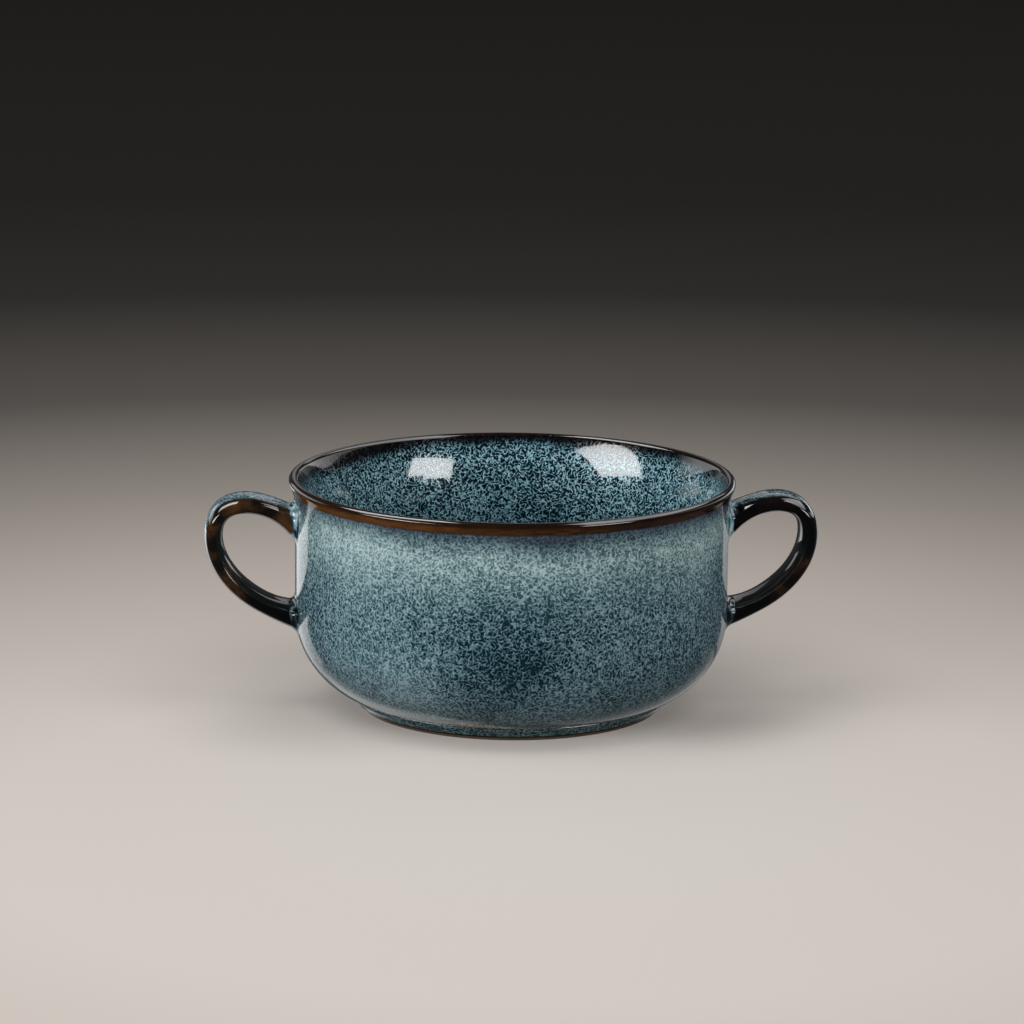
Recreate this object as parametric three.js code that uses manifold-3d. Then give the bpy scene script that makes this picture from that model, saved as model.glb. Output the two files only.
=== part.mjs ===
// Two-handled ceramic bowl: a round body on a foot ring, with two strap handles joined to the wall by slip.
// Millimetres, +Z up. The origin is the middle of the foot's resting face, and the handles lie along X.

import * as THREE from "three";
import { mergeVertices } from "three/addons/utils/BufferGeometryUtils.js";
import Module from "manifold-3d";

const wasm = await Module();
wasm.setup();

// Bowl body
const RIM_DIAMETER = 120.8;
const HEIGHT = 63;
const WALL_THICKNESS = 5;
const FLOOR_THICKNESS = 4.6;
const LIP_THICKNESS = 2.6;
const LIP_LEAN = THREE.MathUtils.degToRad(30);
const RIM_FLARE = 1.75; // how far the lip stands out past the upright wall
const FLARE_HEIGHT = 12; // from the top down to where the wall starts to flare
const INNER_FLARE_HEIGHT = 26; // the inside starts to open out lower down
const INNER_LEAN = THREE.MathUtils.degToRad(18); // of the inside where it meets the lip
const BELLY_INSET = 14.1; // from the upright wall in to where the belly meets the underside
const BELLY_RISE = 21.7; // from the underside up to where the belly turns into the upright wall
const BELLY_SWEEP = THREE.MathUtils.degToRad(66); // share of a quarter ellipse that the belly runs through
const FLOOR_CURVE = 21; // from the inner wall in to where the floor is flat

// Foot ring
const FOOT_HEIGHT = 4.1;
const FOOT_SETBACK = 0.4; // from the belly's lower edge in to the ring's upper edge
const FOOT_TAPER = 3.4; // how far the ring's outside draws in towards the table
const FOOT_FACE = 3.2; // width of the resting face
const FOOT_BEVEL = 0.6; // softened edges of the resting face
const FOOT_INNER_TAPER = 1; // how far the ring's inside draws in towards the underside

// Handles
const HANDLE_REACH = 24.5; // from the upright wall out to the tip
const STRAP_WIDTH = 14;
const STRAP_THICKNESS = 5;
const STRAP_SQUARENESS = 3.6; // power of the superellipse section: 2 is an ellipse
const ROOT_WIDTH = 15.2;
const ROOT_THICKNESS = 7;
const ROOT_LENGTH = 10; // stretch over which the strap swells to its root
const UPPER_ROOT_DROP = 12.2; // from the top down to the upper root
const ROOT_SPACING = 25.6; // from the upper root down to the lower one
const TIP_DROP = 3.5; // from the upper root down to the tip
const UPPER_ROOT_SLOPE = THREE.MathUtils.degToRad(37);
const LOWER_ROOT_SLOPE = THREE.MathUtils.degToRad(13);
const UPPER_ROOT_PULL = 12; // the pulls say how far each bend runs straight on before it turns
const UPPER_TIP_PULL = 11.1;
const LOWER_TIP_PULL = 10.4;
const LOWER_ROOT_PULL = 12;

// Slip joints
const SLIP_THICKNESS = 0.6; // between the root's end and the wall
const SLIP_SPREAD = 1.4; // how far the fillet runs out over the wall
const SLIP_RISE = 2; // how far the fillet climbs along the root
const SLIP_EDGE = 0.4; // thickness of the fillet's upper edge
const CLEARANCE = 0.3; // between pieces that meet on a curved face

// Fineness of the curves
const ROUND_SEGMENTS = 72;
const BELLY_STEPS = 9;
const FLARE_STEPS = 5;
const LIP_STEPS = 6;
const STRAP_STEPS = 14; // along each of the two arms
const SECTION_POINTS = 20; // around the strap
const FILLET_STEPS = 4;

// Radii and heights that follow from the sizes above
const wallRadius = RIM_DIAMETER / 2 - RIM_FLARE;
const innerRadius = wallRadius - WALL_THICKNESS;
const baseRadius = wallRadius - BELLY_INSET;
const bellyTop = FOOT_HEIGHT + BELLY_RISE;
const floorTop = FOOT_HEIGHT + FLOOR_THICKNESS;
const lipRadius = LIP_THICKNESS / 2;
const lipCentre = new THREE.Vector2(RIM_DIAMETER / 2 - lipRadius, HEIGHT - lipRadius);
const upperRootHeight = HEIGHT - UPPER_ROOT_DROP;
const lowerRootHeight = upperRootHeight - ROOT_SPACING;
const tipHeight = upperRootHeight - TIP_DROP;
const intoWall = 2 * WALL_THICKNESS; // how far the roots run on before they are cut back to the wall
const upperArm = handleArm(upperRootHeight, UPPER_ROOT_SLOPE, UPPER_ROOT_PULL, UPPER_TIP_PULL);
const lowerArm = handleArm(lowerRootHeight, LOWER_ROOT_SLOPE, LOWER_ROOT_PULL, -LOWER_TIP_PULL);

// A curve that leaves a wall upright and leans out into the lip, which it meets on a point of its round.
function flareCurve(radius, flareHeight, lean, lipAngle) {
  const bottom = new THREE.Vector2(radius, HEIGHT - flareHeight);
  const fromCentre = new THREE.Vector2(Math.cos(lipAngle), Math.sin(lipAngle));
  const top = lipCentre.clone().addScaledVector(fromCentre, lipRadius);
  const pull = (top.y - bottom.y) / 3;
  const afterBottom = new THREE.Vector2(bottom.x, bottom.y + pull);
  const beforeTop = new THREE.Vector2(top.x - pull * Math.sin(lean), top.y - pull * Math.cos(lean));
  return new THREE.CubicBezierCurve(bottom, afterBottom, beforeTop, top);
}

// The outside of the body from its underside up to the lip.
function outerOutline() {
  const across = BELLY_INSET / (1 - Math.cos(BELLY_SWEEP));
  const up = BELLY_RISE / Math.sin(BELLY_SWEEP);
  const belly = new THREE.EllipseCurve(wallRadius - across, bellyTop, across, up, -BELLY_SWEEP, 0);
  const flare = flareCurve(wallRadius, FLARE_HEIGHT, LIP_LEAN, -LIP_LEAN);
  return [...belly.getPoints(BELLY_STEPS), ...flare.getPoints(FLARE_STEPS)];
}

// The inside of the body from the lip down to the edge of the flat floor.
function innerOutline() {
  const flare = flareCurve(innerRadius, INNER_FLARE_HEIGHT, INNER_LEAN, Math.PI - INNER_LEAN);
  const centre = innerRadius - FLOOR_CURVE;
  const drop = bellyTop - floorTop;
  const bend = new THREE.EllipseCurve(centre, bellyTop, FLOOR_CURVE, drop, 0, -Math.PI / 2, true);
  return [...flare.getPoints(FLARE_STEPS).reverse(), ...bend.getPoints(BELLY_STEPS)];
}

// A solid of revolution about +Z from an outline of (radius, height) points.
function turned(outline) {
  const solid = new THREE.LatheGeometry(outline, ROUND_SEGMENTS);
  return solid.rotateX(Math.PI / 2);
}

function bodyGeometry() {
  const { x, y } = lipCentre;
  const lip = new THREE.EllipseCurve(x, y, lipRadius, lipRadius, -LIP_LEAN, Math.PI - LIP_LEAN);
  return turned([
    new THREE.Vector2(0, FOOT_HEIGHT),
    ...outerOutline(),
    ...lip.getPoints(LIP_STEPS).slice(1), // the outer flare holds its first point
    ...innerOutline(),
    new THREE.Vector2(0, floorTop),
  ]);
}

function footGeometry() {
  const topRadius = baseRadius - FOOT_SETBACK;
  const restRadius = topRadius - FOOT_TAPER;
  const restInner = restRadius - FOOT_FACE;
  const outline = [
    new THREE.Vector2(restInner, 0),
    new THREE.Vector2(restRadius, 0),
    new THREE.Vector2(restRadius + FOOT_BEVEL, FOOT_BEVEL),
    new THREE.Vector2(topRadius, FOOT_HEIGHT),
    new THREE.Vector2(restInner - FOOT_BEVEL - FOOT_INNER_TAPER, FOOT_HEIGHT),
    new THREE.Vector2(restInner - FOOT_BEVEL, FOOT_BEVEL),
  ];
  return turned([...outline, outline[0]]);
}

// The space that the body takes up, filled to the axis and grown outwards, for cutting pieces to its wall.
function wallBlank(grow) {
  const below = -HEIGHT;
  const above = 2 * HEIGHT;
  const outside = outerOutline().map((point) => new THREE.Vector2(point.x + grow, point.y));
  return toSolid(turned([
    new THREE.Vector2(0, below),
    new THREE.Vector2(outside[0].x, below),
    ...outside,
    new THREE.Vector2(outside.at(-1).x, above),
    new THREE.Vector2(0, above),
  ]));
}

// The outside radius of the body at a height.
function wallRadiusAt(height) {
  const points = outerOutline();
  const next = Math.max(1, points.findIndex((point) => point.y >= height));
  const [low, high] = points.slice(next - 1, next + 1);
  return THREE.MathUtils.mapLinear(height, low.y, high.y, low.x, high.x);
}

// The middle line of one arm of the right handle in the X-Z plane, from its root on the wall to the tip.
function handleArm(rootHeight, slope, rootPull, tipPull) {
  const root = new THREE.Vector2(wallRadiusAt(rootHeight), rootHeight);
  const tip = new THREE.Vector2(wallRadius + HANDLE_REACH - STRAP_THICKNESS / 2, tipHeight);
  const outOfWall = new THREE.Vector2(Math.cos(slope), Math.sin(slope));
  const afterRoot = root.clone().addScaledVector(outOfWall, rootPull);
  const beforeTip = new THREE.Vector2(tip.x, tip.y + tipPull);
  return new THREE.CubicBezierCurve(root, afterRoot, beforeTip, tip);
}

// Half of the strap's thickness and of its width, which swell towards the root.
function strapHalves(fromRoot) {
  const swell = Math.max(0, 1 - fromRoot / ROOT_LENGTH) ** 2;
  return {
    halfThickness: THREE.MathUtils.lerp(STRAP_THICKNESS, ROOT_THICKNESS, swell) / 2,
    halfWidth: THREE.MathUtils.lerp(STRAP_WIDTH, ROOT_WIDTH, swell) / 2,
  };
}

// A place on an arm at a distance from its root; a distance below zero lies inside the wall.
function armPlace(arm, fromRoot) {
  const share = Math.max(fromRoot, 0) / arm.getLength();
  const tangent = arm.getTangentAt(share);
  const point = arm.getPointAt(share).addScaledVector(tangent, Math.min(fromRoot, 0));
  return { point, tangent, ...strapHalves(Math.max(fromRoot, 0)) };
}

// A closed superellipse round a centre in the X-Z plane: one half-size lies along "up", the other along Y.
function section(centre, up, halfUp, halfAcross) {
  const power = 2 / STRAP_SQUARENESS;
  const points = [];
  for (let i = 0; i < SECTION_POINTS; i += 1) {
    const angle = (2 * Math.PI * i) / SECTION_POINTS;
    const rise = Math.sign(Math.sin(angle)) * Math.abs(Math.sin(angle)) ** power * halfUp;
    const side = Math.sign(Math.cos(angle)) * Math.abs(Math.cos(angle)) ** power * halfAcross;
    points.push(new THREE.Vector3(centre.x + up.x * rise, side, centre.y + up.y * rise));
  }
  return points;
}

// A closed solid through a row of sections, with flat ends.
function loft(sections) {
  const count = sections[0].length;
  const corners = sections.flat();
  const triangles = [];
  for (let ring = 0; ring < sections.length - 1; ring += 1) {
    for (let i = 0; i < count; i += 1) {
      const a = ring * count + i;
      const b = ring * count + ((i + 1) % count);
      triangles.push(a, b, a + count, b, b + count, a + count);
    }
  }
  const last = (sections.length - 1) * count;
  for (let i = 1; i < count - 1; i += 1) {
    triangles.push(0, i + 1, i);
    triangles.push(last, last + i, last + i + 1);
  }
  const geometry = new THREE.BufferGeometry().setFromPoints(corners);
  geometry.setIndex(triangles);
  return geometry;
}

// The sections of one arm, from inside the wall to the tip. The outside of the bend is left of the upper
// arm's way and right of the lower arm's.
function armSections(arm, outsideIsLeft, grow) {
  const distances = [-intoWall];
  for (let step = 0; step <= STRAP_STEPS; step += 1) {
    distances.push((arm.getLength() * step) / STRAP_STEPS);
  }
  return distances.map((fromRoot) => {
    const { point, tangent, halfThickness, halfWidth } = armPlace(arm, fromRoot);
    const left = new THREE.Vector2(-tangent.y, tangent.x);
    const outwards = outsideIsLeft ? left : left.negate();
    return section(point, outwards, halfThickness + grow, halfWidth + grow);
  });
}

// The handle, with its section grown all round. It ends on its slip pads, which lie on the wall.
function handleSolid(grow) {
  const upper = armSections(upperArm, true, grow);
  const lower = armSections(lowerArm, false, grow).slice(0, -1).reverse();
  const strap = toSolid(loft([...upper, ...lower]));
  return strap.subtract(wallBlank(SLIP_THICKNESS + 2 * CLEARANCE - grow));
}

// Slip squeezed out round a root: a pad on the wall and a hollow fillet up the strap.
function slipSolid(arm) {
  const upright = new THREE.Vector2(0, 1);
  const distances = [-intoWall];
  for (let step = 0; step <= FILLET_STEPS; step += 1) {
    distances.push((SLIP_RISE * step) / FILLET_STEPS);
  }
  const fillet = loft(distances.map((fromRoot) => {
    const { point, tangent, halfThickness, halfWidth } = armPlace(arm, fromRoot);
    const fall = 1 - Math.max(fromRoot, 0) / SLIP_RISE;
    const spread = CLEARANCE + THREE.MathUtils.lerp(SLIP_EDGE, SLIP_SPREAD, fall ** 2);
    return section(point, upright, halfThickness / tangent.x + spread, halfWidth + spread);
  }));
  return toSolid(fillet).subtract(wallBlank(CLEARANCE)).subtract(handleSolid(CLEARANCE));
}

// A closed triangle mesh as a solid for cutting, with shared corners merged and flat triangles left out.
function toSolid(geometry) {
  const bare = new THREE.BufferGeometry();
  bare.setAttribute("position", geometry.getAttribute("position"));
  bare.setIndex(geometry.getIndex());
  const welded = mergeVertices(bare);
  const index = welded.getIndex().array;
  const triangles = [];
  for (let i = 0; i < index.length; i += 3) {
    const corners = [...index.slice(i, i + 3)];
    if (new Set(corners).size === 3) {
      triangles.push(...corners);
    }
  }
  return new wasm.Manifold(new wasm.Mesh({
    numProp: 3,
    vertProperties: new Float32Array(welded.getAttribute("position").array),
    triVerts: new Uint32Array(triangles),
  }));
}

function toGeometry(solid) {
  const mesh = solid.getMesh();
  const geometry = new THREE.BufferGeometry();
  geometry.setAttribute("position", new THREE.BufferAttribute(mesh.vertProperties, 3));
  geometry.setIndex(new THREE.BufferAttribute(mesh.triVerts, 1));
  return geometry;
}

const glaze = new THREE.MeshStandardMaterial({ color: 0x54737b, roughness: 0.22, metalness: 0 });
const darkGlaze = new THREE.MeshStandardMaterial({ color: 0x24170f, roughness: 0.18, metalness: 0 });
const pooledGlaze = new THREE.MeshStandardMaterial({ color: 0x7d979b, roughness: 0.2, metalness: 0 });
const footGlaze = new THREE.MeshStandardMaterial({ color: 0x5b6d70, roughness: 0.4, metalness: 0 });

const bowl = new THREE.Group();

function addPiece(name, geometry, material, turn = 0) {
  const piece = new THREE.Mesh(geometry, material);
  piece.name = name;
  piece.rotation.z = turn;
  bowl.add(piece);
}

addPiece("bowl_body", bodyGeometry(), glaze);
addPiece("foot_ring", footGeometry(), footGlaze);

const handle = toGeometry(handleSolid(0));
const upperSlip = toGeometry(slipSolid(upperArm));
const lowerSlip = toGeometry(slipSolid(lowerArm));

for (const [side, turn] of [["right", 0], ["left", Math.PI]]) {
  addPiece(`${side}_handle`, handle, darkGlaze, turn);
  addPiece(`${side}_upper_slip_joint`, upperSlip, pooledGlaze, turn);
  addPiece(`${side}_lower_slip_joint`, lowerSlip, pooledGlaze, turn);
}

export default bowl;
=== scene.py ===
"""A two-handled ceramic bowl in a speckled blue glaze that breaks to iron brown on its lip and handles.

Metres, +Z up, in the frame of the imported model: the handles lie along X and the foot stands on z = 0.
"""
import math

import bpy
from mathutils import Matrix, Vector


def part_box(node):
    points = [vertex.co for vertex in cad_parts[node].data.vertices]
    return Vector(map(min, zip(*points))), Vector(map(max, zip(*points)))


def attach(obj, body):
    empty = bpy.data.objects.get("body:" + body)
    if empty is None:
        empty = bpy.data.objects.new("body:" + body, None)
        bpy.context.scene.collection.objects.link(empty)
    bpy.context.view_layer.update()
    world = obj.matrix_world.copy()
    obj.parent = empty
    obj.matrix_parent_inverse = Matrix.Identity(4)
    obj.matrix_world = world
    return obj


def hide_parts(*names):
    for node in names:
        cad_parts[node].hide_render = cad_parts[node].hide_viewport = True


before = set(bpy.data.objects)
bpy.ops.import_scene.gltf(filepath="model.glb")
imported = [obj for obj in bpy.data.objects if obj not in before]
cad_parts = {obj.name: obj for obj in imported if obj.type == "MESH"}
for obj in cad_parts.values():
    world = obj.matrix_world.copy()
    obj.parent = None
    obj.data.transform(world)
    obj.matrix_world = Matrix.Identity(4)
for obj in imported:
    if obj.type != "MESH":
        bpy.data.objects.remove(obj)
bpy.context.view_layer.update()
MM = 0.001

# Sizes taken from the frame
body_low, body_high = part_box("bowl_body")
handle_low, handle_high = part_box("right_handle")
RIM_RADIUS = body_high.y
HEIGHT = body_high.z
FOOT_HEIGHT = body_low.z
TIP_REACH = handle_high.x

# Bowl body
RIM_FLARE = 1.75 * MM  # how far the lip stands out past the upright wall
FLARE_HEIGHT = 12 * MM  # from the top down to where the wall starts to flare
LIP_THICKNESS = 2.6 * MM
LIP_LEAN = math.radians(30)
BELLY_INSET = 14.1 * MM
BELLY_RISE = 21.7 * MM
BELLY_SWEEP = math.radians(66)
BASE_EDGE = 0.7 * MM  # rounding where the belly meets the underside
WALL_THICKNESS = 5 * MM
FLOOR_THICKNESS = 4.6 * MM
FLOOR_CURVE = 21 * MM
INNER_FLARE_HEIGHT = 26 * MM  # the inside starts to open out lower down
INNER_LEAN = math.radians(18)  # of the inside where it meets the lip

# Foot ring
FOOT_SETBACK = 0.4 * MM
FOOT_TAPER = 3.4 * MM
FOOT_FACE = 3.2 * MM
FOOT_BEVEL = 0.6 * MM
FOOT_INNER_TAPER = 1 * MM
GLAZE_LINE = 0.9 * MM  # the glaze is wiped off below this height
GLAZE_ROLL = 0.22 * MM  # how far the edge of the glaze stands out from the clay

# Handles
STRAP_WIDTH = 14 * MM
STRAP_THICKNESS = 5 * MM
STRAP_SQUARENESS = 2.5
ROOT_WIDTH = 15.2 * MM
ROOT_THICKNESS = 7 * MM
ROOT_LENGTH = 10 * MM
ROOT_INSET = 2.5 * MM  # how far the roots run into the wall
UPPER_ROOT_DROP = 12.2 * MM
ROOT_SPACING = 25.6 * MM
TIP_DROP = 3.5 * MM
UPPER_ROOT_SLOPE = math.radians(37)
LOWER_ROOT_SLOPE = math.radians(13)
UPPER_ROOT_PULL = 12 * MM
UPPER_TIP_PULL = 11.1 * MM
LOWER_TIP_PULL = 10.4 * MM
LOWER_ROOT_PULL = 12 * MM

# Slip joints
SLIP_SPREAD = 3 * MM
SLIP_RISE = 2.6 * MM
SLIP_WOBBLE = 0.12  # share by which the fillet's size wanders round a root
SLIP_SINK = 0.06 * MM  # how far the fillet's edges lie under what they meet
SLIP_CORE = 0.6 * MM  # how far the fillet's hidden corner lies inside

# Fineness of the meshes
ROUND_SEGMENTS = 288
CURVE_STEPS = 40
LIP_STEPS = 16
EDGE_STEPS = 6
ARM_STEPS = 90
SECTION_POINTS = 64
FILLET_POINTS = 120
FILLET_STEPS = 8

# Lengths that follow from the sizes above
wall_radius = RIM_RADIUS - RIM_FLARE
inner_radius = wall_radius - WALL_THICKNESS
base_radius = wall_radius - BELLY_INSET
belly_top = FOOT_HEIGHT + BELLY_RISE
floor_top = FOOT_HEIGHT + FLOOR_THICKNESS
lip_radius = LIP_THICKNESS / 2
lip_centre = Vector((RIM_RADIUS - lip_radius, HEIGHT - lip_radius))
upper_root_height = HEIGHT - UPPER_ROOT_DROP
lower_root_height = upper_root_height - ROOT_SPACING
tip_height = upper_root_height - TIP_DROP


# Curves in a plane


def bezier(a, b, c, d, steps):
    """Points on a cubic curve from a to d."""
    points = []
    for i in range(steps + 1):
        t = i / steps
        s = 1 - t
        points.append(a * s**3 + b * 3 * s * s * t + c * 3 * s * t * t + d * t**3)
    return points


def ellipse(centre, across, up, start, end, steps):
    """Points on an ellipse between two angles."""
    points = []
    for i in range(steps + 1):
        angle = start + (end - start) * i / steps
        points.append(centre + Vector((across * math.cos(angle), up * math.sin(angle))))
    return points


def flare(radius, flare_height, lean, lip_angle):
    """Points from an upright wall out into the lip, which they meet on a point of its round."""
    foot = Vector((radius, HEIGHT - flare_height))
    top = lip_centre + lip_radius * Vector((math.cos(lip_angle), math.sin(lip_angle)))
    pull = (top.y - foot.y) / 3
    after_foot = foot + Vector((0, pull))
    before_top = top - pull * Vector((math.sin(lean), math.cos(lean)))
    return bezier(foot, after_foot, before_top, top, CURVE_STEPS)


def belly_outline():
    """The outside from the belly's lower edge up to the upright wall."""
    across = BELLY_INSET / (1 - math.cos(BELLY_SWEEP))
    up = BELLY_RISE / math.sin(BELLY_SWEEP)
    centre = Vector((wall_radius - across, belly_top))
    return ellipse(centre, across, up, -BELLY_SWEEP, 0, CURVE_STEPS)


def outer_outline():
    """The outside from the belly's lower edge up to the lip."""
    return belly_outline() + flare(wall_radius, FLARE_HEIGHT, LIP_LEAN, -LIP_LEAN)


def inner_outline():
    """The inside from the lip down to the middle of the floor."""
    opening = flare(inner_radius, INNER_FLARE_HEIGHT, INNER_LEAN, math.pi - INNER_LEAN)
    centre = Vector((inner_radius - FLOOR_CURVE, belly_top))
    bend = ellipse(centre, FLOOR_CURVE, belly_top - floor_top, 0, -math.pi / 2, CURVE_STEPS)
    return opening[::-1] + bend + [Vector((0, floor_top))]


def radius_at(outline, height):
    """The radius of an outline that climbs, at a height."""
    for low, high in zip(outline, outline[1:]):
        if high.y >= height:
            return low.x + (high.x - low.x) * (height - low.y) / (high.y - low.y)
    return outline[-1].x


# Meshes


def piece(name, verts, faces, finish, nodes):
    """A smooth mesh that rides on the frame and stands for some of its nodes."""
    mesh = bpy.data.meshes.new(name)
    mesh.from_pydata(verts, [], faces)
    mesh.validate()
    mesh.shade_smooth()
    for material in finish:
        mesh.materials.append(material)
    obj = bpy.data.objects.new(name, mesh)
    bpy.context.scene.collection.objects.link(obj)
    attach(obj, "root")
    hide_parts(*nodes)
    return obj


def turned(outline):
    """Corners and faces of an outline turned about the axis; a point on the axis becomes one corner."""
    verts = []
    rings = []
    for point in outline:
        count = 1 if point.x < 1e-9 else ROUND_SEGMENTS
        rings.append(range(len(verts), len(verts) + count))
        for i in range(count):
            angle = 2 * math.pi * i / ROUND_SEGMENTS
            verts.append((point.x * math.cos(angle), point.x * math.sin(angle), point.y))
    faces = []
    for low, high in zip(rings, rings[1:]):
        for i in range(ROUND_SEGMENTS):
            j = (i + 1) % ROUND_SEGMENTS
            if len(low) == 1:
                faces.append((low[0], high[j], high[i]))
            elif len(high) == 1:
                faces.append((low[i], low[j], high[0]))
            else:
                faces.append((low[i], low[j], high[j], high[i]))
    return verts, faces


def looped(rings, closed):
    """Corners and faces of a skin over a row of rings, joined end to end or capped."""
    count = len(rings[0])
    verts = [corner for ring in rings for corner in ring]
    faces = []
    for k in range(len(rings) if closed else len(rings) - 1):
        here = k * count
        there = (k + 1) % len(rings) * count
        for i in range(count):
            j = (i + 1) % count
            faces.append((here + i, here + j, there + j, there + i))
    if not closed:
        last = (len(rings) - 1) * count
        faces.append(tuple(range(count - 1, -1, -1)))
        faces.append(tuple(range(last, last + count)))
    return verts, faces


def mark(obj, name, values):
    """Keeps one number for each corner of a mesh, for its material to read."""
    attribute = obj.data.attributes.new(name, "FLOAT", "POINT")
    attribute.data.foreach_set("value", values)


# Handle arms


class Arm:
    """One arm of the right handle in the X-Z plane, from its root on the wall to the tip."""

    def __init__(self, root_height, slope, root_pull, tip_pull, outward):
        root = Vector((radius_at(wall_outline, root_height), root_height))
        tip = Vector((TIP_REACH - STRAP_THICKNESS / 2, tip_height))
        after_root = root + root_pull * Vector((math.cos(slope), math.sin(slope)))
        before_tip = tip + Vector((0, tip_pull))
        self.points = bezier(root, after_root, before_tip, tip, 4 * ARM_STEPS)
        self.outward = outward
        self.root = root
        self.lengths = [0.0]
        for a, b in zip(self.points, self.points[1:]):
            self.lengths.append(self.lengths[-1] + (b - a).length)
        self.length = self.lengths[-1]

    def place(self, distance):
        """Middle point and outward direction at a distance from the root, which may lie inside the wall."""
        k = 1
        while k < len(self.lengths) - 1 and self.lengths[k] < distance:
            k += 1
        a, b = self.points[k - 1], self.points[k]
        along = (b - a).normalized()
        before = self.points[k - 2] if k > 1 else a
        after = self.points[k + 1] if k + 1 < len(self.points) else b
        tangent = (after - before).normalized()
        middle = a + along * (distance - self.lengths[k - 1])
        return middle, self.outward * Vector((-tangent.y, tangent.x))

    def corner(self, distance, angle):
        """A point on the strap's skin; angle 0 is its +Y side, a quarter turn its outside."""
        middle, outward = self.place(distance)
        swell = max(0, 1 - max(distance, 0) / ROOT_LENGTH) ** 2
        half_thickness = (STRAP_THICKNESS + (ROOT_THICKNESS - STRAP_THICKNESS) * swell) / 2
        half_width = (STRAP_WIDTH + (ROOT_WIDTH - STRAP_WIDTH) * swell) / 2
        rise, side = strap_section(angle)
        centre = middle + outward * rise * half_thickness
        return Vector((centre.x, side * half_width, centre.y))


def strap_section(angle):
    """Where a superellipse stands at an angle, as shares of its half sizes: outwards and across."""
    power = 2 / STRAP_SQUARENESS
    rise = math.copysign(abs(math.sin(angle)) ** power, math.sin(angle))
    side = math.copysign(abs(math.cos(angle)) ** power, math.cos(angle))
    return rise, side


wall_outline = outer_outline()
upper_arm = Arm(upper_root_height, UPPER_ROOT_SLOPE, UPPER_ROOT_PULL, UPPER_TIP_PULL, 1)
lower_arm = Arm(lower_root_height, LOWER_ROOT_SLOPE, LOWER_ROOT_PULL, -LOWER_TIP_PULL, -1)


# Materials


def tone(red, green, blue):
    """A colour given in the 0 to 255 of a picture, as the linear colour that a shader takes."""
    linear = []
    for value in (red, green, blue):
        share = value / 255
        linear.append(share / 12.92 if share <= 0.04045 else ((share + 0.055) / 1.055) ** 2.4)
    return (*linear, 1.0)


class Shader:
    """A material's nodes, with short calls for the ones that the glazes use."""

    def __init__(self, name):
        self.material = bpy.data.materials.new(name)
        self.material.use_nodes = True
        self.tree = self.material.node_tree
        self.surface = self.tree.nodes["Principled BSDF"]
        self.place = self.add("ShaderNodeTexCoord", {}).outputs["Object"]
        split = self.add("ShaderNodeSeparateXYZ", {0: self.place})
        self.side = split.outputs["X"]
        self.height = split.outputs["Z"]

    def set(self, socket, value):
        """Links a socket to another one, or gives it a value."""
        if isinstance(value, bpy.types.NodeSocket):
            self.tree.links.new(value, socket)
        else:
            socket.default_value = value

    def add(self, kind, inputs, **settings):
        """A new node with its inputs and its own settings."""
        node = self.tree.nodes.new(kind)
        for name, value in settings.items():
            setattr(node, name, value)
        for key, value in inputs.items():
            self.set(node.inputs[key], value)
        return node

    def finish(self, **inputs):
        """Sets the surface's own sockets; an underscore in a name stands for a space."""
        for name, value in inputs.items():
            self.set(self.surface.inputs[name.replace("_", " ")], value)

    def math(self, operation, a, b=0.0, c=0.0):
        return self.add("ShaderNodeMath", {0: a, 1: b, 2: c}, operation=operation).outputs[0]

    def vector(self, operation, a, b):
        return self.add("ShaderNodeVectorMath", {0: a, 1: b}, operation=operation)

    def noise(self, size, detail=2.0, distortion=0.0, place=None):
        """Smooth noise whose blotches are about one size across."""
        inputs = {
            "Vector": place or self.place,
            "Scale": 1 / size,
            "Detail": detail,
            "Distortion": distortion,
        }
        return self.add("ShaderNodeTexNoise", inputs).outputs[0]

    def swing(self, size, reach, detail=2.0, place=None):
        """Noise about zero that swings by about a reach either way."""
        return self.span(self.noise(size, detail, place=place), 0.2, 0.8, -reach, reach, smooth=False)

    def span(self, value, low, high, to_low=0.0, to_high=1.0, smooth=True):
        """A step between two levels, eased at its ends or straight."""
        inputs = {"Value": value, 1: low, 2: high, 3: to_low, 4: to_high}
        kind = "SMOOTHSTEP" if smooth else "LINEAR"
        return self.add("ShaderNodeMapRange", inputs, interpolation_type=kind).outputs[0]

    def ramp(self, value, stops):
        """A colour that runs through (place, colour) stops."""
        node = self.add("ShaderNodeValToRGB", {0: value})
        elements = node.color_ramp.elements
        while len(elements) < len(stops):
            elements.new(0.5)
        for element, (place, colour) in zip(elements, stops):
            element.position = place
            element.color = colour
        return node.outputs[0]

    def mix(self, factor, a, b):
        node = self.add("ShaderNodeMix", {}, data_type="RGBA")
        self.set(node.inputs["Factor"], factor)
        self.set(node.inputs[6], a)
        self.set(node.inputs[7], b)
        return node.outputs[2]

    def near(self, place, centre, radius):
        """1 at a point, easing to 0 a radius away."""
        distance = self.vector("DISTANCE", place, centre).outputs["Value"]
        return self.span(distance, radius, 0.0)

    def attribute(self, name):
        """The number that a mesh keeps for its corners under a name."""
        return self.add("ShaderNodeAttribute", {}, attribute_name=name).outputs["Fac"]

    def relief(self, height, depth):
        """Lifts the surface by a height times a depth, for light only."""
        bump = self.add("ShaderNodeBump", {"Height": height, "Strength": 1.0, "Distance": depth})
        self.finish(Normal=bump.outputs[0])


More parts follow.
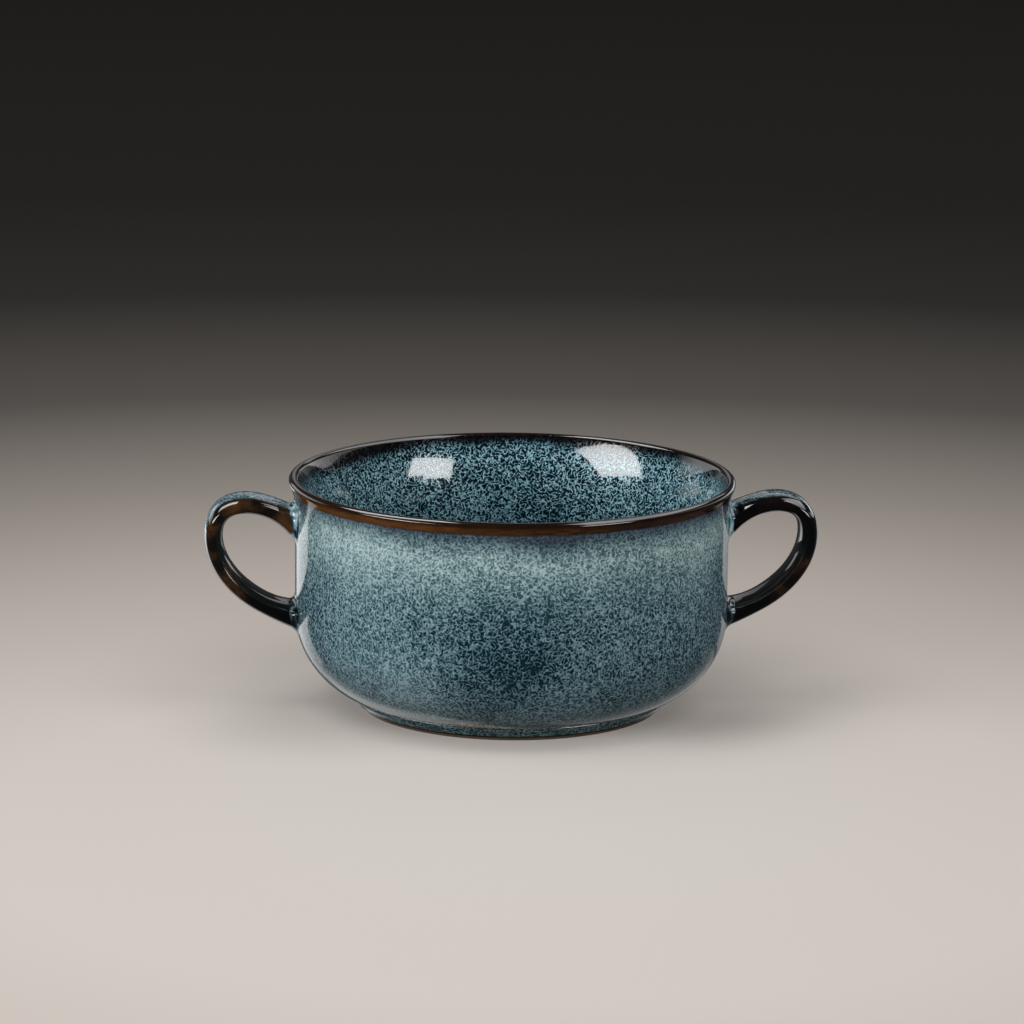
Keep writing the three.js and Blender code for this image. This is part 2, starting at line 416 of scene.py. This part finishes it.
# Marks of the glaze
GRAIN = 0.6 * MM  # spacing of the speckle's strands inside the bowl
OUTER_GRAIN = 0.66 * MM  # the same on the outside, where the coat is thicker
STRAND = 0.16  # half width of a strand in the noise that draws it, and its rise in the speckle's level
CURDLE = 2.6 * MM  # patches where the strands crowd or thin out
CLOUD = 15 * MM  # large soft patches
RUN = 2.4 * MM  # width of the runs where the glaze flowed down
WANDER = 20 * MM  # length over which the bands of colour rise and fall round the wall
RIPPLE = 5 * MM  # slow unevenness of the glaze's surface
GLAZE_RELIEF = 0.0012 * MM  # depth of the speckle's relief
PIT_SHARE = 0.68  # the pits' fall from the middle tone, as a share of the strands' rise

# Pairs of heights between which the lip's colours change
OUTER_BREAK = (59.2 * MM, 60 * MM)  # blue to brown on the outside
INNER_BREAK = (62.2 * MM, 62.8 * MM)  # blue to brown on the inside
AMBER_BOTTOM = (60.2 * MM, 59.5 * MM)  # amber to dark, downwards
AMBER_TOP = (61 * MM, 62 * MM)  # amber to dark, upwards

# Where the outside's bands of colour lie lower (above 0) or higher: middle in metres, reach and shift
BAND_SHIFTS = (
    ((0.002, -0.06, 0.056), 24 * MM, 1.2 * MM),
    ((-0.046, -0.04, 0.053), 32 * MM, -1.2 * MM),
)

# Where the outside's coat is thicker (above 0) or thinner, the last patch being a painted sheen on the right
# under the lip: middle in metres, reach and change of level
COAT_AND_SHEEN_PATCHES = (
    ((-0.004, -0.058, 0.024), 23 * MM, -0.18),
    ((-0.042, -0.038, 0.014), 30 * MM, 0.12),
    ((-0.027, -0.048, 0.015), 18 * MM, 0.13),
    ((-0.046, -0.04, 0.053), 32 * MM, 0.16),
    # Painted sheen on the right under the lip
    ((0.046, -0.037, 0.054), 22 * MM, 0.12),
)


def grain(shader, size):
    """The speckle's level about 0.5: high on its pale strands, low in the dark pits between them."""
    fine = shader.noise(0.8 * size, detail=0.0, distortion=0.3)
    bend = shader.noise(1.6 * size, detail=0.0, distortion=0.3)
    off_line = shader.math("ABSOLUTE", shader.math("SUBTRACT", bend, 0.5))
    strand = shader.span(off_line, STRAND, 0.0, -STRAND, STRAND)
    level = shader.math("MULTIPLY_ADD", shader.math("SUBTRACT", fine, 0.5), 0.6, strand)
    crowd = shader.math("ADD", shader.swing(CURDLE, 0.05, detail=1.0), 0.5)
    return shader.math("ADD", level, crowd)


def speckled(shader, level, reach, pits, middle, strands):
    """A colour by the speckle's level: the middle tone at 0.5, the strands a reach above, the pits below."""
    darker = shader.mix(shader.span(level, 0.5 - PIT_SHARE * reach, 0.5, smooth=False), pits, middle)
    return shader.mix(shader.span(level, 0.5, 0.5 + reach, smooth=False), darker, strands)


def wandering_height(shader, reach):
    """Height as a share of the bowl's, wandering up and down round the wall."""
    moved = shader.math("ADD", shader.height, shader.swing(WANDER, reach))
    return shader.math("DIVIDE", moved, HEIGHT)


def three_tones(shader, height, rows):
    """Pits, middle and strands by height, from rows of a height in millimetres and three colours."""
    tones = []
    for k in range(1, 4):
        tones.append(shader.ramp(height, [(row[0] * MM / HEIGHT, tone(*row[k])) for row in rows]))
    return tones


def glossy(shader, colour, level, roughness, strand_roughness):
    """A glassy surface, less shiny on the speckle's strands, with a fine and a slow unevenness."""
    rough = shader.span(level, 0.4, 0.65, roughness, strand_roughness)
    shader.finish(Base_Color=colour, Roughness=rough)
    uneven = shader.math("MULTIPLY_ADD", shader.noise(RIPPLE, 1.0), 8.0, level)
    shader.relief(uneven, GLAZE_RELIEF)


def climb(shader, height, ends, most=1.0):
    """0 at one end and the most at the other; the height is a share of the bowl's, the ends are heights."""
    return shader.span(height, ends[0] / HEIGHT, ends[1] / HEIGHT, 0.0, most)


def iron_edge(shader, height):
    """The brown that the glaze breaks to on the lip: amber in a band below the crest, palest on the left."""
    drawn_out = shader.vector("MULTIPLY", shader.place, (0.25, 0.25, 1.5)).outputs[0]
    streak = shader.math("ADD", shader.swing(14 * MM, 0.1), shader.swing(1.2 * MM, 0.12, place=drawn_out))
    streak = shader.math("ADD", streak, shader.span(shader.side, 34 * MM, -40 * MM, 0.42, 0.68))
    amber = shader.ramp(streak, [
        (0.34, tone(30, 17, 9)),
        (0.52, tone(50, 30, 12)),
        (0.74, tone(88, 54, 20)),
    ])
    dark = shader.ramp(streak, [(0.35, tone(10, 5, 3)), (0.7, tone(30, 16, 7))])
    crest = climb(shader, height, AMBER_TOP)
    lower = climb(shader, height, AMBER_BOTTOM, 0.7)
    return shader.mix(shader.math("MAXIMUM", crest, lower), amber, dark)


def outer_glaze():
    """Speckled blue-grey, palest in a band under the lip, brown on the lip, with a painted highlight along
    the belly's lower edge and a painted sheen on the right under the lip.
    """
    shader = Shader("outer_glaze")
    height = wandering_height(shader, 1.6 * MM)
    for spot, reach, shift in BAND_SHIFTS:
        patch = shader.near(shader.place, spot, reach)
        height = shader.math("MULTIPLY_ADD", patch, shift / HEIGHT, height)
    pits, middle, strands = three_tones(shader, height, [
        # The lowest row is a painted highlight: a pale line along the belly's lower edge
        (4.5, (92, 90, 86), (154, 148, 141), (194, 186, 176)),
        (5.6, (38, 53, 56), (72, 86, 89), (106, 114, 115)),
        (10, (28, 48, 53), (66, 84, 90), (110, 128, 133)),
        (15, (14, 36, 43), (66, 87, 95), (114, 137, 144)),
        (22, (4, 28, 36), (66, 91, 100), (122, 148, 156)),
        (30, (4, 29, 38), (68, 94, 103), (127, 155, 163)),
        (37, (8, 35, 44), (74, 100, 109), (134, 162, 169)),
        (42, (24, 53, 61), (80, 107, 113), (138, 164, 170)),
        (47, (44, 72, 77), (100, 126, 130), (156, 180, 183)),
        (52, (66, 92, 95), (120, 144, 146), (170, 192, 193)),
        (55, (50, 74, 79), (98, 122, 126), (144, 168, 172)),
        (57.5, (34, 53, 62), (70, 90, 99), (106, 128, 134)),
        (59.2, (34, 43, 53), (54, 65, 77), (74, 87, 98)),
    ])
    flow = shader.vector("MULTIPLY", shader.place, (1.0, 1.0, 0.2)).outputs[0]
    level = shader.math("ADD", grain(shader, OUTER_GRAIN), shader.swing(CLOUD, 0.06))
    level = shader.math("ADD", level, shader.swing(RUN, 0.03, place=flow))
    for spot, reach, change in COAT_AND_SHEEN_PATCHES:
        level = shader.math("MULTIPLY_ADD", shader.near(shader.place, spot, reach), change, level)
    # Painted shade: the painted highlight along the belly's lower edge is dimmed on the right
    low = shader.span(shader.height, 8 * MM, 4.5 * MM)
    right_foot_line_shade = shader.math("MULTIPLY", low, shader.span(shader.side, 0.0, 30 * MM))
    level = shader.math("MULTIPLY_ADD", right_foot_line_shade, -0.3, level)
    glaze = speckled(shader, level, 0.36, pits, middle, strands)
    steady = shader.math("ADD", shader.height, shader.swing(6 * MM, 0.15 * MM))
    steady = shader.math("DIVIDE", steady, HEIGHT)
    broken = climb(shader, steady, OUTER_BREAK)
    colour = shader.mix(broken, glaze, iron_edge(shader, steady))
    glossy(shader, colour, level, 0.06, 0.12)
    return shader.material


def inner_glaze():
    """A finer and brighter speckle that darkens under the lip, with a painted shadow of the lip reaching
    lower on the left.
    """
    shader = Shader("inner_glaze")
    height = wandering_height(shader, 0.8 * MM)
    # Painted shadow of the lip: on the left the dark band under the lip reaches lower
    left = shader.span(shader.side, -14 * MM, -40 * MM)
    height = shader.math("MULTIPLY_ADD", left, 1.7 * MM / HEIGHT, height)
    pits, middle, strands = three_tones(shader, height, [
        (9, (0, 20, 30), (56, 92, 102), (124, 160, 170)),
        (45, (0, 22, 32), (66, 103, 113), (146, 181, 191)),
        (57, (0, 25, 35), (74, 110, 120), (154, 188, 198)),
        (59.6, (0, 18, 26), (50, 80, 90), (114, 146, 156)),
        (61, (0, 3, 7), (10, 20, 26), (34, 56, 66)),
        (61.8, (0, 0, 1), (3, 4, 5), (8, 10, 12)),
    ])
    level = shader.math("ADD", grain(shader, GRAIN), shader.swing(CLOUD, 0.04))
    glaze = speckled(shader, level, 0.2, pits, middle, strands)
    steady = shader.math("DIVIDE", shader.height, HEIGHT)
    broken = climb(shader, steady, INNER_BREAK)
    colour = shader.mix(broken, glaze, iron_edge(shader, steady))
    glossy(shader, colour, level, 0.04, 0.17)
    return shader.material


def handle_glaze():
    """Blue on the outside of the bend, black-brown on the edges, with amber patches, and paler and more
    amber on the left handle.
    """
    shader = Shader("handle_glaze")
    outside = shader.math("ADD", shader.attribute("outside"), shader.swing(1.5 * MM, 0.05))
    level = shader.math("ADD", grain(shader, OUTER_GRAIN), shader.swing(5 * MM, 0.12))
    # The left handle is made paler blue and, in its upper part, more amber
    left = shader.span(shader.side, 0.0, -72 * MM)
    level = shader.math("MULTIPLY_ADD", left, 0.14, level)
    blue = speckled(shader, level, 0.24, tone(4, 24, 34), tone(66, 94, 103), tone(136, 166, 174))
    left_amber = shader.math("MULTIPLY", left, shader.span(shader.height, 28 * MM, 50 * MM))
    patch = shader.math("ADD", shader.noise(9 * MM, 2.0), shader.swing(1.0 * MM, 0.05))
    patch = shader.math("MULTIPLY_ADD", left_amber, 0.23, patch)
    brown = shader.ramp(patch, [
        (0.46, tone(2, 2, 2)),
        (0.66, tone(14, 9, 6)),
        (0.86, tone(66, 43, 22)),
    ])
    dark = shader.mix(shader.span(outside, -0.75, -0.96), brown, tone(4, 10, 13))
    colour = shader.mix(shader.span(outside, 0.8, 0.95), dark, blue)
    glossy(shader, colour, level, 0.05, 0.08)
    return shader.material


def joint_glaze():
    """Pale where the glaze pooled round the upper roots, dark round the lower ones."""
    shader = Shader("joint_glaze")
    flow = shader.vector("MULTIPLY", shader.place, (1.0, 1.0, 0.25)).outputs[0]
    level = shader.math("ADD", shader.noise(1.6 * MM, 1.0, place=flow), shader.swing(OUTER_GRAIN, 0.06))
    low = shader.span(shader.height, 40 * MM, 34 * MM)
    pits = shader.mix(low, tone(14, 40, 52), tone(3, 8, 10))
    middle = shader.mix(low, tone(98, 130, 140), tone(22, 36, 41))
    strands = shader.mix(low, tone(166, 190, 195), tone(84, 108, 114))
    colour = speckled(shader, level, 0.2, pits, middle, strands)
    glossy(shader, colour, level, 0.06, 0.12)
    return shader.material


def foot_glaze():
    """The outside's speckle, with a dark line where the glaze ends."""
    shader = Shader("foot_glaze")
    level = shader.math("ADD", grain(shader, OUTER_GRAIN), shader.swing(CLOUD, 0.05))
    glaze = speckled(shader, level, 0.2, tone(26, 44, 48), tone(60, 80, 84), tone(96, 112, 115))
    edge = shader.span(shader.height, GLAZE_LINE + 0.6 * MM, GLAZE_LINE + 0.2 * MM)
    colour = shader.mix(edge, glaze, tone(18, 13, 10))
    glossy(shader, colour, level, 0.12, 0.2)
    return shader.material


def clay():
    """Bare brown clay with a sandy grain."""
    shader = Shader("clay")
    sand = shader.noise(0.4 * MM, 3.0)
    colour = shader.ramp(sand, [(0.3, tone(74, 56, 42)), (0.7, tone(118, 94, 74))])
    shader.finish(Base_Color=colour, Roughness=0.8, Specular_IOR_Level=0.3)
    shader.relief(sand, 0.06 * MM)
    return shader.material


outer_material = outer_glaze()
inner_material = inner_glaze()
handle_material = handle_glaze()
joint_material = joint_glaze()
foot_material = foot_glaze()
clay_material = clay()


# Bowl body


def make_body():
    """The wall, the lip and the floor as one turned outline, with a glaze for each side."""
    lip_middle = math.pi / 2
    outside = outer_outline()
    lip_out = ellipse(lip_centre, lip_radius, lip_radius, -LIP_LEAN, lip_middle, LIP_STEPS)
    lip_in = ellipse(lip_centre, lip_radius, lip_radius, lip_middle, math.pi - INNER_LEAN, LIP_STEPS)
    edge = Vector((base_radius, FOOT_HEIGHT))  # rounded off between the underside and the belly
    under = Vector((base_radius - BASE_EDGE, FOOT_HEIGHT))
    start = outside[1]
    edge_points = bezier(under, under.lerp(edge, 2 / 3), start.lerp(edge, 2 / 3), start, EDGE_STEPS)
    outline = [Vector((0, FOOT_HEIGHT))] + edge_points + outside[2:] + lip_out[1:]
    inside_from = len(outline)
    outline += lip_in[1:] + inner_outline()[1:]
    verts, faces = turned(outline)
    finish = [outer_material, inner_material]
    obj = piece("bowl_body_glazed", verts, faces, finish, ["bowl_body"])
    for face in obj.data.polygons[(inside_from - 1) * ROUND_SEGMENTS:]:
        face.material_index = 1


# Foot ring


def make_foot():
    """A turned ring, bare where it rests and glazed on its outer side."""
    top = base_radius - FOOT_SETBACK
    rest = top - FOOT_TAPER
    rest_inner = rest - FOOT_FACE
    bevel_top = Vector((rest + FOOT_BEVEL, FOOT_BEVEL))
    upper = Vector((top, FOOT_HEIGHT))
    line = bevel_top.lerp(upper, (GLAZE_LINE - FOOT_BEVEL) / (FOOT_HEIGHT - FOOT_BEVEL))
    clay_inset = Vector((-GLAZE_ROLL, 0))
    outline = [
        Vector((rest_inner, 0)),
        Vector((rest, 0)) + clay_inset,
        bevel_top + clay_inset,
        line + clay_inset,
        line + Vector((-0.2 * GLAZE_ROLL, 0)),
        line + Vector((0, GLAZE_ROLL)),
        line.lerp(upper, 0.5),
        upper,
        Vector((rest_inner - FOOT_BEVEL - FOOT_INNER_TAPER, FOOT_HEIGHT)),
        Vector((rest_inner - FOOT_BEVEL, FOOT_BEVEL)),
    ]
    verts, faces = turned(outline)
    last = (len(outline) - 1) * ROUND_SEGMENTS
    for i in range(ROUND_SEGMENTS):
        j = (i + 1) % ROUND_SEGMENTS
        faces.append((last + i, last + j, j, i))
    finish = [clay_material, foot_material]
    obj = piece("foot_ring_glazed", verts, faces, finish, ["foot_ring"])
    glaze_edge, inner_top = 4, 8  # the outline's points between which the ring is glazed
    for face in obj.data.polygons[glaze_edge * ROUND_SEGMENTS:inner_top * ROUND_SEGMENTS]:
        face.material_index = 1


# Handles and slip joints


def turned_round(verts, turn):
    """Corners of the right side turned about the bowl's axis."""
    return [turn @ Vector(corner) for corner in verts]


def make_handle(side, turn):
    """A strap along both arms, from the upper root round the tip to the lower root."""
    rings = []
    outside = []
    angles = [2 * math.pi * i / SECTION_POINTS for i in range(SECTION_POINTS)]

    def add_ring(arm, distance):
        rings.append([arm.corner(distance, angle) for angle in angles])
        outside.extend(strap_section(angle)[0] for angle in angles)

    add_ring(upper_arm, -ROOT_INSET)
    for step in range(ARM_STEPS + 1):
        add_ring(upper_arm, upper_arm.length * step / ARM_STEPS)
    for step in range(ARM_STEPS - 1, -1, -1):
        add_ring(lower_arm, lower_arm.length * step / ARM_STEPS)
    add_ring(lower_arm, -ROOT_INSET)
    verts, faces = looped(rings, closed=False)
    verts = turned_round(verts, turn)
    name = f"{side}_handle"
    obj = piece(f"{name}_glazed", verts, faces, [handle_material], [name])
    mark(obj, "outside", outside)


def wall_crossing(arm, angle):
    """How far from the root the strap's skin comes out of the wall, at an angle round the strap."""
    low, high = -ROOT_LENGTH, ROOT_LENGTH
    for _ in range(30):
        middle = (low + high) / 2
        corner = arm.corner(middle, angle)
        if math.hypot(corner.x, corner.y) < radius_at(wall_outline, corner.z):
            low = middle
        else:
            high = middle
    return low


def on_wall(turn, height, sink):
    """A point of the outside wall by its turn about the axis and its height, sunk into the wall."""
    radius = radius_at(wall_outline, height) - sink
    return Vector((radius * math.cos(turn), radius * math.sin(turn), height))


def make_joint(side, level, arm, turn, phase):
    """A fillet of slip all round a root, hollow like a collar."""
    rings = []
    for i in range(FILLET_POINTS):
        angle = 2 * math.pi * i / FILLET_POINTS
        wobble = 1 + SLIP_WOBBLE * math.sin(2 * angle + phase) * math.cos(3 * angle + 2 * phase)
        out = wall_crossing(arm, angle)
        corner = arm.corner(out, angle)
        top = out + SLIP_RISE * wobble
        middle, _ = arm.place(top)
        on_strap = arm.corner(top, angle)
        inwards = (Vector((middle.x, 0, middle.y)) - on_strap).normalized()
        on_strap += inwards * SLIP_SINK
        bearing = math.atan2(corner.y, corner.x)
        away = Vector((bearing * wall_radius, corner.z - arm.root.y)).normalized()
        spread = SLIP_SPREAD * wobble
        foot = on_wall(bearing + away.x * spread / wall_radius, corner.z + away.y * spread, SLIP_SINK)
        ring = []
        for step in range(FILLET_STEPS + 1):
            t = step / FILLET_STEPS
            ring.append(on_strap * (1 - t) ** 2 + corner * 2 * t * (1 - t) + foot * t * t)
        ring.append(corner - Vector((SLIP_CORE, 0, 0)) + inwards * SLIP_CORE)
        rings.append(ring)
    verts, faces = looped(rings, closed=True)
    verts = turned_round(verts, turn)
    name = f"{side}_{level}_slip_joint"
    piece(f"{name}_glazed", verts, faces, [joint_material], [name])


make_body()
make_foot()
for side, half_turns, phase in (("right", 0, 0.4), ("left", 1, 2.1)):
    turn = Matrix.Rotation(math.pi * half_turns, 3, "Z")
    make_handle(side, turn)
    make_joint(side, "upper", upper_arm, turn, phase)
    make_joint(side, "lower", lower_arm, turn, phase + 1)


# Floor

FLOOR_HALF = 6.0  # half its width and depth, in metres
# Middle of the pool of light that is painted into the floor's colour
FLOOR_LIGHT_POOL = (0.0, -0.12, 0.0)
FLOOR_FADE = 2.0  # metres from the middle of the painted pool of light to the end of the floor's colours
FLOOR_GLOW = 0.25  # share of its colour that is seen as written, whatever the light

# Painted shadows of the bowl on the floor beside the foot: middle in metres, reach and depth
FLOOR_SHADOW_TONE = (70, 62, 56)
FLOOR_SHADOWS = (
    ((0.049, -0.026, 0.0), 34 * MM, 0.3),
    ((0.07, -0.012, 0.0), 32 * MM, 0.14),
    ((-0.058, -0.024, 0.0), 46 * MM, 0.15),
)


def floor_material():
    """A painted pool of light: pale round the bowl and falling off into the dark of the studio."""
    shader = Shader("floor")
    distance = shader.vector("DISTANCE", shader.place, FLOOR_LIGHT_POOL).outputs["Value"]
    colour = shader.ramp(shader.math("DIVIDE", distance, FLOOR_FADE), [
        (0.0, tone(212, 206, 200)),
        (0.07, tone(208, 200, 193)),
        (0.13, tone(190, 181, 173)),
        (0.2, tone(149, 142, 135)),
        (0.28, tone(92, 88, 84)),
        (0.39, tone(54, 52, 50)),
        (0.52, tone(44, 43, 41)),
        (0.92, tone(46, 45, 42)),
    ])
    # Painted shadows: the floor's colour is darkened beside the foot
    for spot, reach, depth in FLOOR_SHADOWS:
        painted_shadow = shader.math("MULTIPLY", shader.near(shader.place, spot, reach), depth)
        colour = shader.mix(painted_shadow, colour, tone(*FLOOR_SHADOW_TONE))
    shader.finish(Base_Color=colour, Roughness=0.9, Specular_IOR_Level=0.0)
    ray = shader.add("ShaderNodeLightPath", {}).outputs
    mirrored = shader.math("ADD", ray["Is Glossy Ray"], ray["Is Transmission Ray"])
    seen = shader.math("ADD", ray["Is Camera Ray"], mirrored)
    share = shader.math("MULTIPLY", seen, FLOOR_GLOW)
    plain = shader.add("ShaderNodeEmission", {"Color": colour}).outputs[0]
    lit = shader.surface.outputs[0]
    mixed = shader.add("ShaderNodeMixShader", {0: share, 1: lit, 2: plain}).outputs[0]
    shader.set(shader.tree.nodes["Material Output"].inputs["Surface"], mixed)
    return shader.material


def make_floor():
    """A flat floor that mirror reflections leave out."""
    half = FLOOR_HALF
    corners = [(-half, -half, 0), (half, -half, 0), (half, half, 0), (-half, half, 0)]
    mesh = bpy.data.meshes.new("floor")
    mesh.from_pydata(corners, [], [(0, 1, 2, 3)])
    mesh.materials.append(floor_material())
    obj = bpy.data.objects.new("floor", mesh)
    obj.visible_glossy = False
    bpy.context.scene.collection.objects.link(obj)


make_floor()


# Light

CARD_DISTANCE = 1.1  # metres from the middle of the bowl
middle_of_bowl = Vector((0, 0, HEIGHT / 2))


def direction(azimuth, elevation):
    """A way out from the bowl, in degrees: azimuth 0 is the front, -Y, and it grows towards +X."""
    a, e = math.radians(azimuth), math.radians(elevation)
    return Vector((math.sin(a) * math.cos(e), -math.cos(a) * math.cos(e), math.sin(e)))


def softbox(name, azimuth, elevation, distance, width, height, radiance):
    """A lamp that faces the bowl; mirror reflections show the cards and not the lamps."""
    lamp = bpy.data.lights.new(name, "AREA")
    lamp.shape = "RECTANGLE"
    lamp.size = width
    lamp.size_y = height
    lamp.energy = radiance * math.pi * width * height
    obj = bpy.data.objects.new(name, lamp)
    back = direction(azimuth, elevation)
    obj.location = back * distance + middle_of_bowl
    obj.rotation_euler = back.to_track_quat("Z", "Y").to_euler()
    obj.visible_camera = False
    obj.visible_glossy = False
    bpy.context.scene.collection.objects.link(obj)


def card(name, radiance, corners):
    """A glowing sheet round the bowl that only mirror reflections show.

    Each corner is an azimuth, an elevation and its share of the glow.
    """
    mesh = bpy.data.meshes.new(name)
    places = []
    for azimuth, elevation, _ in corners:
        places.append(direction(azimuth, elevation) * CARD_DISTANCE + middle_of_bowl)
    mesh.from_pydata(places, [], [tuple(range(len(places)))])
    shader = Shader(name)
    shader.finish(Base_Color=tone(0, 0, 0), Emission_Color=tone(255, 255, 255))
    shader.finish(Emission_Strength=shader.math("MULTIPLY", shader.attribute("glow"), radiance))
    mesh.materials.append(shader.material)
    obj = bpy.data.objects.new(name, mesh)
    mark(obj, "glow", [glow for _, _, glow in corners])
    obj.visible_camera = False
    obj.visible_diffuse = False
    obj.visible_shadow = False
    bpy.context.scene.collection.objects.link(obj)


# Lamps: azimuth, elevation, distance, width, height and radiance
softbox("key_softbox", -70, 64, 1.8, 1.2, 1.2, 3.1)
softbox("top_softbox", 60, 62, 1.8, 1.0, 1.0, 2.3)
softbox("front_softbox", 0, 36, 1.8, 1.4, 0.8, 2)
softbox("back_softbox", 180, 40, 1.8, 1.4, 0.8, 0.8)
softbox("left_softbox", -58, 10, 1.1, 0.8, 0.3, 11)
softbox("right_softbox", 48, 10, 1.1, 0.5, 0.25, 9)

# The two bright shapes on the inside of the far wall
card("left_card", 14, [
    (-40.5, 21.5, 1), (-56, 22.5, 1), (-66, 22, 1), (-76, 19, 1), (-82.5, 14, 1),
    (-84.5, 9.5, 1), (-57, 11, 1), (-52.5, 14.5, 1), (-48, 17.5, 1),
])
card("right_card", 14, [
    (56, 16.5, 1), (30.5, 17.5, 1), (32.5, 10, 1), (50, 9, 1), (50, 10.5, 1), (60, 9.5, 1),
])

# Streaks on the lip and along the handles
card("key_card", 12, [(-90, 32, 0.4), (-120, 38, 0.8), (-146, 68, 1), (-60, 72, 1)])
card("top_card", 8, [(36, 27, 0.3), (80, 29, 0.3), (95, 70, 1), (50, 70, 1)])
card("right_far_card", 4, [(82, 30, 1), (140, 30, 0.8), (150, 66, 0.8), (96, 70, 1)])

# Pale strips down the sides of the wall and under the belly
card("left_back_card", 1.65, [(-139, -28, 0.35), (-139, -7, 1), (-163, -7, 1), (-163, -28, 0.35)])
card("left_edge_card", 0.5, [(-163, -28, 0.7), (-163, -7, 1), (-173, -7, 0), (-173, -28, 0)])
card("left_low_card", 0.9, [(-138, -62, 0), (-138, -28, 0), (-160, -28, 0.9), (-160, -62, 0.7)])
card("left_under_card", 0.9, [(-160, -62, 0.7), (-160, -28, 0.9), (-176, -28, 0.3), (-176, -62, 0.3)])
card("right_low_card", 0.4, [(130, -62, 0), (130, -20, 0), (166, -20, 1), (166, -62, 0.5)])
card("right_back_card", 0.7, [(145, -19, 0.6), (145, -7, 1), (168, -7, 0.3), (168, -19, 0.2)])

# Grey sheen inside the bowl and on the ends of the lip
card("sheen_card", 2, [(-108, 3, 0), (-108, 17, 0), (-126, 17, 1), (-126, 3, 0.8)])
card("left_inner_card", 2, [(-126, 3, 0.8), (-126, 17, 1), (-157, 15, 0.5), (-157, 2, 0.5)])
card("back_card", 1.2, [(148, 21, 1), (148, 46, 0), (181, 46, 0), (181, 21, 0.6)])
card("right_inner_card", 2.2, [
    (84, 20, 0.3), (84, 28, 0.3), (118, 14, 0.8), (146, 9, 0.8), (160, 9, 0.25),
    (160, 0, 0.25), (146, 0, 0.9), (118, 7, 0.8), (100, 14, 0.5),
])
card("lip_end_card", 0.7, [(173, 9, 0.6), (173, 20, 1), (188, 20, 0.5), (188, 9, 0.3)])

world = bpy.data.worlds.new("studio")
world.use_nodes = True
background = world.node_tree.nodes["Background"]
background.inputs["Color"].default_value = tone(66, 66, 68)
background.inputs["Strength"].default_value = 1.0
bpy.context.scene.world = world


# Camera

IMAGE = 1024  # pixels each way
FOCAL = 4742  # focal length in pixels
SENSOR = 36.0  # millimetres
DISTANCE = 1.288
ELEVATION = 13.32  # degrees
AZIMUTH = -4  # degrees
ROLL = math.radians(0.6)
AIM_HEIGHT = 31.46 * MM
AIM_ROW = 589.3  # picture row of the aim point

camera_data = bpy.data.cameras.new("camera")
camera_data.sensor_width = SENSOR
camera_data.lens = FOCAL / IMAGE * SENSOR
camera = bpy.data.objects.new("camera", camera_data)
pitch = math.radians(ELEVATION) - math.atan((AIM_ROW - IMAGE / 2) / FOCAL)
aim = Vector((0, 0, AIM_HEIGHT))
looking = (
    Matrix.Rotation(math.radians(AZIMUTH), 4, "Z")
    @ Matrix.Rotation(math.pi / 2 - pitch, 4, "X")
    @ Matrix.Rotation(ROLL, 4, "Z")
)
camera.matrix_world = Matrix.Translation(aim + direction(AZIMUTH, ELEVATION) * DISTANCE) @ looking
bpy.context.scene.collection.objects.link(camera)
bpy.context.scene.camera = camera
bpy.context.scene.view_settings.view_transform = "Standard"
